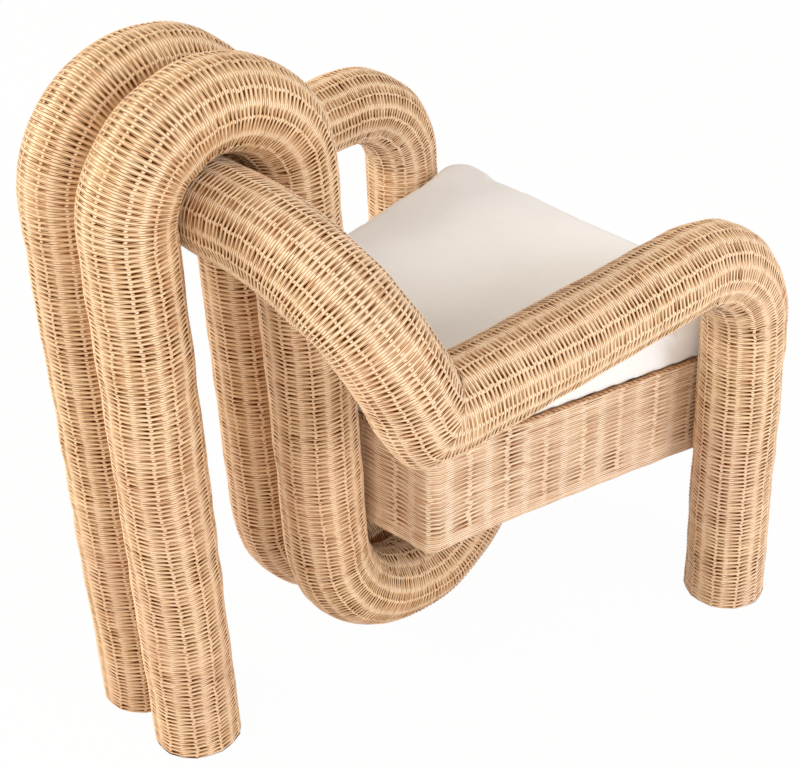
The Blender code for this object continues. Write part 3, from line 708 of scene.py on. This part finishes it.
chance = np.random.default_rng(51)
apron_plan = seat_plan(0, seat_corner_r)
apron_round = round_plan(apron_plan, np.zeros(1))[2]
apron_stakes = round(apron_round / apron_stake)
apron_low, apron_high = seat_bottom + edge_clear, seat_top - edge_clear
apron_rings = 2 * round((apron_high - apron_low) / apron_pitch)
shares = np.arange(4 * apron_stakes) / (4 * apron_stakes)
shares = shares + chance.uniform(-0.015, 0.015, len(shares)) / apron_stakes
places, outward, _ = round_plan(apron_plan, shares)
rise = (np.arange(apron_rings) / (apron_rings - 1))[:, None]
arc = (shares * apron_round)[None, :]
nothing = np.zeros_like(arc)
rearward = np.clip((places[None, :, 1] - seat_front_y) / (seat_rear_y - seat_front_y), 0, 1)
boldness = 0.32 + 0.38 * (1 - rise) ** 0.7 + 0.20 * rearward - 0.25 * (rearward > 0.97)
boldness = boldness * chance.uniform(0.75, 1.15, len(shares))[None, :]
boldness = np.clip(boldness + 0.22 * waves(arc, rise * 2, chance, 12, 0.5, 0.03), 0.15, 1.2)
smooth_line = smooth_low + smooth_sway * waves(arc, nothing, chance, 8, 0.4, 0.04)
boldness = boldness * np.clip((rise * seat_height - smooth_line) / smooth_fade, 0, 1)
lift, tone = over_and_under(chance, apron_rings, apron_stakes, boldness)
wobble = apron_lump * waves(arc, rise * 3, chance, 12, 0.5, 0.05) - apron_in
sway = row_sway * waves(arc, rise, chance, 8, 0.5, 0.06) * np.sin(math.pi * rise)
level = apron_low + (apron_high - apron_low) * rise + sway
low_part = np.clip(1 - (level - seat_bottom) / roll_under, 0, 1)
rolled = roll_under * (1 - np.sqrt(1 - low_part ** 2))
reach = wobble + lift - rolled
apron_points = np.zeros((apron_rings, len(shares), 3))
apron_points[..., :2] = places[None] + reach[..., None] * outward[None]
apron_points[..., 2] = level - low_sag * rearward ** 6 * (1 - rise)
back = apron_points[[0, -1]].copy()
back[..., :2] = (places - 1.2 * apron_t * outward)[None]
apron_points = np.concatenate([back[:1], apron_points, back[1:]])
values = {"bold": boldness, "tone": tone, "spread": np.ones_like(boldness)}
values = {label: np.concatenate([v[:1], v, v[-1:]]) for label, v in values.items()}
apron_weave = grid_mesh("apron_weave", apron_points, 1, 1, values, True)
blush_weave = woven_rattan(
    "blush_woven_rattan", tint(239, 214, 187), tint(215, 179, 148), tint(239, 213, 192), 0.15, 0.40
)
apron_weave.data.materials.append(blush_weave)
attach(apron_weave, "root")
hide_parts("seat_apron")

# Apron edges: a twisted cord of smoked core laid along the top, and a smooth flat band of split
# cane wound over the lower edge. Both are sewn through the last rows of the weave.
cord_h, band_h = 0.0042, 0.0060
cord_lay = 0.0150
cord_plies = 2
wrap_pitch = 0.0052
cord_section, band_section = (0.0024, cord_h / 2, 12), (0.0044, band_h / 2, 16)
cord_inset, band_inset = 0.0014, 0.0078
cord_middle, band_middle = seat_top + 0.0004, seat_bottom + band_h / 2
trim_columns = 1440


def edge_band(name, section, columns, inset, middle, work):
    """Sweeps an oval section (half width, half height, points) round the seat, with its surface
    worked by a function of the way round and the turn of the section."""
    half_width, half_height, count = section
    shares = np.arange(columns) / columns
    places, outward, length = round_plan(seat_plan(0, seat_corner_r), shares)
    turn = (2 * math.pi * np.arange(count) / count)[:, None]
    arc = (shares * length)[None, :]
    swell, drop, values = work(arc, turn, length)
    reach = (half_width + swell) * np.cos(turn) - inset
    points = np.zeros((count, columns, 3))
    points[..., :2] = places[None] + reach[..., None] * outward[None]
    points[..., 2] = middle + (half_height + swell) * np.sin(turn) + drop
    values = {label: v[::-1] for label, v in values.items()}
    return grid_mesh(name, points[::-1], 1, 0, values, True)


def twisted(arc, turn, length):
    """Two plies laid up into a cord, with painted shade in the crease where each ply comes round."""
    chance = np.random.default_rng(67)
    lays = round(length / cord_lay)
    phase = turn + 2 * math.pi * lays * arc / length + 0.5 * waves(arc, turn * 0, chance, 8, 0.4, 0.05)
    hump = np.abs(np.cos(phase * cord_plies / 2))
    shade = np.clip(0.95 - 1.5 * hump, 0, 1) + 0.25
    tone = 0.5 + 0.4 * waves(arc, turn, chance, 12, 0.1, 0.01)
    sway = 0.0004 * waves(arc, turn * 0, chance, 8, 0.3, 0.04)
    return 0.0005 * (hump - 0.7), sway, {"shade": shade, "tone": tone}


def wound(arc, turn, length):
    """Split cane wound close round the edge, each turn lying a little its own way."""
    chance = np.random.default_rng(71)
    slow = waves(arc, turn * 0, chance, 10, 0.25, 0.02)
    wraps = np.cos(2 * math.pi * round(length / wrap_pitch) * arc / length + 0.6 * np.sin(turn))
    # painted shade in the hollow between turns
    shade = 0.10 + 0.22 * np.clip(-wraps, 0, 1) ** 3 + 0 * turn
    tone = 0.6 + 0.25 * waves(arc, turn, chance, 14, 0.12, 0.01)
    return 0.00025 * wraps + 0 * turn, 0.0006 * slow + 0 * turn, {"shade": shade, "tone": tone}


def laid_cane(name, pale, deep):
    """Cane laid or wound by hand: its tone and the shade between turns are on the mesh."""
    made, tree, shader = new_finish(name)
    tone = mesh_value(tree, "tone")
    shade = mesh_value(tree, "shade")
    spot = place_node(tree)
    fibre = noise_node(tree, spot, 420.0, 3.0)
    strand = ramp_node(tree, [(0.2, deep), (0.8, pale)])
    mottle = sum_node(tree, tone, spread_node(tree, fibre, -0.25, 0.25, 0.3, 0.7))
    tree.links.new(mottle, strand.inputs["Fac"])
    # painted shade: the colour darkens in the creases and hollows that shade marks
    painted_shade_ramp = ramp_node(tree, [(0.0, (1, 1, 1)), (0.35, (0.80, 0.72, 0.63)), (1.0, (0.12, 0.065, 0.035))])
    tree.links.new(shade, painted_shade_ramp.inputs["Fac"])
    colour = blend_node(tree, 1.0, strand.outputs["Color"], painted_shade_ramp.outputs["Color"], "MULTIPLY")
    tree.links.new(colour, shader.inputs["Base Color"])
    tree.links.new(spread_node(tree, fibre, 0.48, 0.7), shader.inputs["Roughness"])
    bump_node(tree, shader, fibre, 0.2, 0.0003)
    return made


smoked_core = laid_cane("smoked_core_cord", tint(220, 176, 136), tint(178, 130, 88))
split_cane = laid_cane("split_cane", tint(234, 202, 172), tint(212, 170, 134))
trims = (
    ("apron_cord", "apron_border", cord_section, cord_inset, cord_middle, twisted, smoked_core),
    ("apron_band", "apron_binding", band_section, band_inset, band_middle, wound, split_cane),
)
for name, node, section, inset, middle, work, finish in trims:
    trim = edge_band(name, section, trim_columns, inset, middle, work)
    trim.data.materials.append(finish)
    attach(trim, "root")
    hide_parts(node)

# Seat cushion: a loose boxed pad of cotton canvas over foam and fibre, cut to the seat's taper. It
# lies on the slats inside the border, soft at its edges and crowned in the middle.
cushion_low = seat_top + 0.0003
cushion_edge = 0.4090
cushion_crown = 0.0080
cushion_fall = 0.0300  # the top leans back by this share of the depth
cushion_inset = 0.0034
cushion_corner_r = 0.0380
top_round, low_round = 0.0200, 0.0015
cushion_held = 0.018  # height over which the border keeps the sides from swelling
cushion_cap = 0.0055
cushion_level_y = -0.197  # the leaning top keeps its height on this line
cloth_cell = 0.0055
cloth_steps = 20
pad_points = 220


def cushion_rings():
    """Rings from the middle of the underside, out, up and over to the middle of the top."""
    shares = np.arange(pad_points) / pad_points
    middle = np.array([0.0, (seat_front_y + seat_rear_y) / 2])

    def ring(inset, z, scale=1.0):
        plan = seat_plan(cushion_inset + inset, max(0.012, cushion_corner_r - inset))
        places = round_plan(plan, shares)[0]
        places = middle + (places - middle) * scale
        return np.column_stack([places, np.full(len(places), z)])

    rings = [ring(low_round, cushion_low, scale) for scale in (0.02, 0.25, 0.5, 0.75, 0.92)]
    for k in range(5):
        angle = math.pi / 2 * k / 4
        draw_in, up = low_round * (1 - math.sin(angle)), low_round * (1 - math.cos(angle))
        rings.append(ring(draw_in, cushion_low + up))
    rings.append(ring(0.0, (cushion_low + cushion_edge) / 2))
    for k in range(9):
        angle = math.pi / 2 * k / 8
        draw_in, down = top_round * (1 - math.cos(angle)), top_round * (1 - math.sin(angle))
        rings.append(ring(draw_in, cushion_edge - down))
    for scale in (0.92, 0.8, 0.65, 0.5, 0.35, 0.2, 0.02):
        rings.append(ring(top_round, cushion_edge + cushion_crown * (1 - scale ** 2), scale))
    return rings


tool = bmesh.new()
ring_rows = [[tool.verts.new(p) for p in ring] for ring in cushion_rings()]
for low_ring, high_ring in zip(ring_rows, ring_rows[1:]):
    for k in range(len(low_ring)):
        j = (k + 1) % len(low_ring)
        tool.faces.new((low_ring[k], low_ring[j], high_ring[j], high_ring[k]))
tool.faces.new(ring_rows[0][::-1])
tool.faces.new(ring_rows[-1])
cushion_mesh = bpy.data.meshes.new("seat_pad")
tool.to_mesh(cushion_mesh)
tool.free()
cushion = bpy.data.objects.new("seat_pad", cushion_mesh)
bpy.context.collection.objects.link(cushion)


def bake_modifiers(piece):
    """Keeps the shape that a piece's modifiers give it, and takes the modifiers off."""
    shaped = bpy.data.meshes.new_from_object(piece.evaluated_get(bpy.context.evaluated_depsgraph_get()))
    piece.modifiers.clear()
    piece.data = shaped


cells = cushion.modifiers.new("even cells", "REMESH")
cells.mode = "VOXEL"
cells.voxel_size = cloth_cell
bake_modifiers(cushion)
cut_shape = np.array([v.co[:] for v in cushion.data.vertices])
cloth = cushion.modifiers.new("canvas", "CLOTH")
cloth.settings.quality = 5
cloth.settings.mass = 0.3
cloth.settings.use_pressure = True
cloth.settings.uniform_pressure_force = 4.0
cloth.settings.shrink_min = -0.02
cloth.settings.effector_weights.gravity = 0
cloth.collision_settings.use_collision = False
for step in range(1, cloth_steps + 1):
    bpy.context.scene.frame_set(step)
bake_modifiers(cushion)
bpy.context.scene.frame_set(1)
filled = np.array([v.co[:] for v in cushion.data.vertices])
moved = filled - cut_shape
far = np.linalg.norm(moved, axis=1, keepdims=True)
moved *= np.minimum(1, cushion_cap / np.maximum(far, 1e-9))
moved *= np.clip((cut_shape[:, 2:] - cushion_low) / cushion_held, 0, 1)
filled = cut_shape + moved
filled[:, 2] = np.maximum(filled[:, 2], cushion_low)
cushion.data.vertices.foreach_set("co", filled.astype(np.float32).ravel())
smooth = cushion.modifiers.new("smooth", "SUBSURF")
smooth.levels = smooth.render_levels = 1
bake_modifiers(cushion)
padded = np.array([v.co[:] for v in cushion.data.vertices])
lean = (padded[:, 2] - cushion_low) / (cushion_edge - cushion_low)
padded[:, 2] += cushion_fall * (cushion_level_y - padded[:, 1]) * np.clip(lean, 0, 1)
cushion.data.vertices.foreach_set("co", padded.astype(np.float32).ravel())
cushion.data.shade_smooth()

canvas, tree, shader = new_finish("white_cotton_canvas")
spot = place_node(tree)
threads = []
for axis in "XYZ":
    wave = add_node(tree, "ShaderNodeTexWave", wave_type="BANDS", bands_direction=axis)
    wave.inputs["Scale"].default_value = 260.0
    wave.inputs["Distortion"].default_value = 1.2
    wave.inputs["Detail"].default_value = 2.0
    tree.links.new(spot, wave.inputs["Vector"])
    threads.append(wave.outputs["Fac"])
cloth_face = sum_node(tree, sum_node(tree, threads[0], threads[1]), threads[2])
slub = noise_node(tree, stretched(tree, spot, (40, 700, 300)), 1.0, 3.0)
cloud = noise_node(tree, spot, 9.0, 3.0)
grey, white, bleached = tint(232, 233, 238), tint(238, 240, 245), tint(243, 245, 250)
cotton = ramp_node(tree, [(0.25, grey), (0.55, white), (0.85, bleached)])
tree.links.new(weighted(tree, slub, 0.5, cloud, 0.5), cotton.inputs["Fac"])
tree.links.new(cotton.outputs["Color"], shader.inputs["Base Color"])
tree.links.new(spread_node(tree, slub, 0.86, 0.98), shader.inputs["Roughness"])
shader.inputs["Sheen Weight"].default_value = 0.15
shader.inputs["Sheen Roughness"].default_value = 0.5
shader.inputs["Specular IOR Level"].default_value = 0.2
bump_node(tree, shader, cloth_face, 0.12, 0.0004)
cushion.data.materials.clear()
cushion.data.materials.append(canvas)
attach(cushion, "root")
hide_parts("seat_cushion")

# Camera: it stands at the photograph's place, behind the chair's right side and above it. Its place,
# direction and lens were found by fitting the tubes' outlines.
eye = Vector((-1.41657, 1.22268, 1.51328))
yaw, pitch, roll = math.radians(132.06), math.radians(-32.44), math.radians(-0.44)
look = Vector((math.sin(yaw) * math.cos(pitch), math.cos(yaw) * math.cos(pitch), math.sin(pitch)))
right = look.cross(Vector((0, 0, 1))).normalized()
up = right.cross(look)
right, up = right * math.cos(roll) + up * math.sin(roll), up * math.cos(roll) - right * math.sin(roll)
camera_data = bpy.data.cameras.new("photo_camera")
camera_data.sensor_width = 36.0
camera_data.sensor_fit = "HORIZONTAL"
camera_data.lens = 82.03
camera = bpy.data.objects.new("photo_camera", camera_data)
camera.matrix_world = Matrix((
    (right.x, up.x, -look.x, eye.x),
    (right.y, up.y, -look.y, eye.y),
    (right.z, up.z, -look.z, eye.z),
    (0, 0, 0, 1),
))
bpy.context.collection.objects.link(camera)
bpy.context.scene.camera = camera

# Floor and light: a plain white sweep in a bright room, with a key softbox low on the camera's right,
# a warmer one on its left and a weak wide fill behind the camera.
floor_mesh = bpy.data.meshes.new("studio_floor")
floor_mesh.from_pydata([(-9, -9, 0), (9, -9, 0), (9, 9, 0), (-9, 9, 0)], [], [(0, 1, 2, 3)])
floor = bpy.data.objects.new("studio_floor", floor_mesh)
bpy.context.collection.objects.link(floor)


def straight_view(tree):
    """One for rays that see a surface from the camera, in a reflection or through something."""
    path = add_node(tree, "ShaderNodeLightPath").outputs
    seen = sum_node(tree, path["Is Camera Ray"], path["Is Glossy Ray"], "MAXIMUM")
    return sum_node(tree, seen, path["Is Transmission Ray"], "MAXIMUM")


paper = bpy.data.materials.new("white_paper")
paper.use_nodes = True
tree = paper.node_tree
tree.nodes.clear()
output = add_node(tree, "ShaderNodeOutputMaterial")
matt = add_node(tree, "ShaderNodeBsdfDiffuse")
matt.inputs["Color"].default_value = (0.86, 0.86, 0.86, 1)
bright = add_node(tree, "ShaderNodeEmission")
seen = straight_view(tree)
mixed = add_node(tree, "ShaderNodeMixShader")
tree.links.new(sum_node(tree, seen, 0.97, "MULTIPLY"), mixed.inputs["Fac"])
tree.links.new(matt.outputs[0], mixed.inputs[1])
tree.links.new(bright.outputs[0], mixed.inputs[2])
tree.links.new(mixed.outputs[0], output.inputs["Surface"])
floor.data.materials.append(paper)

world = bpy.data.worlds.new("studio")
bpy.context.scene.world = world
world.use_nodes = True
tree = world.node_tree
backdrop = tree.nodes["Background"]
seen = straight_view(tree)
tree.links.new(spread_node(tree, seen, 0.74, 1.0), backdrop.inputs["Strength"])
tree.links.new(blend_node(tree, seen, (1.0, 0.88, 0.75), (1.0, 1.0, 1.0)), backdrop.inputs["Color"])

lamp_aim = Vector((0, 0, 0.45))


def softbox(name, place, size, power, colour):
    lamp_data = bpy.data.lights.new(name, "AREA")
    lamp_data.shape = "DISK"
    lamp_data.size = size
    lamp_data.energy = power
    lamp_data.color = colour
    lamp = bpy.data.objects.new(name, lamp_data)
    lamp.location = place
    lamp.rotation_euler = (lamp_aim - Vector(place)).to_track_quat("-Z", "Y").to_euler()
    bpy.context.collection.objects.link(lamp)


softbox("key_softbox", (-6.45, -0.55, 3.35), 2.8, 206, (0.93, 0.98, 1.0))
softbox("left_softbox", (4.3, 4.4, 3.1), 2.6, 285, (1.0, 0.93, 0.78))
softbox("fill_softbox", (-4.6, 4.4, 2.2), 4.0, 75, (1.0, 0.94, 0.86))
bpy.context.scene.view_settings.view_transform = "Standard"
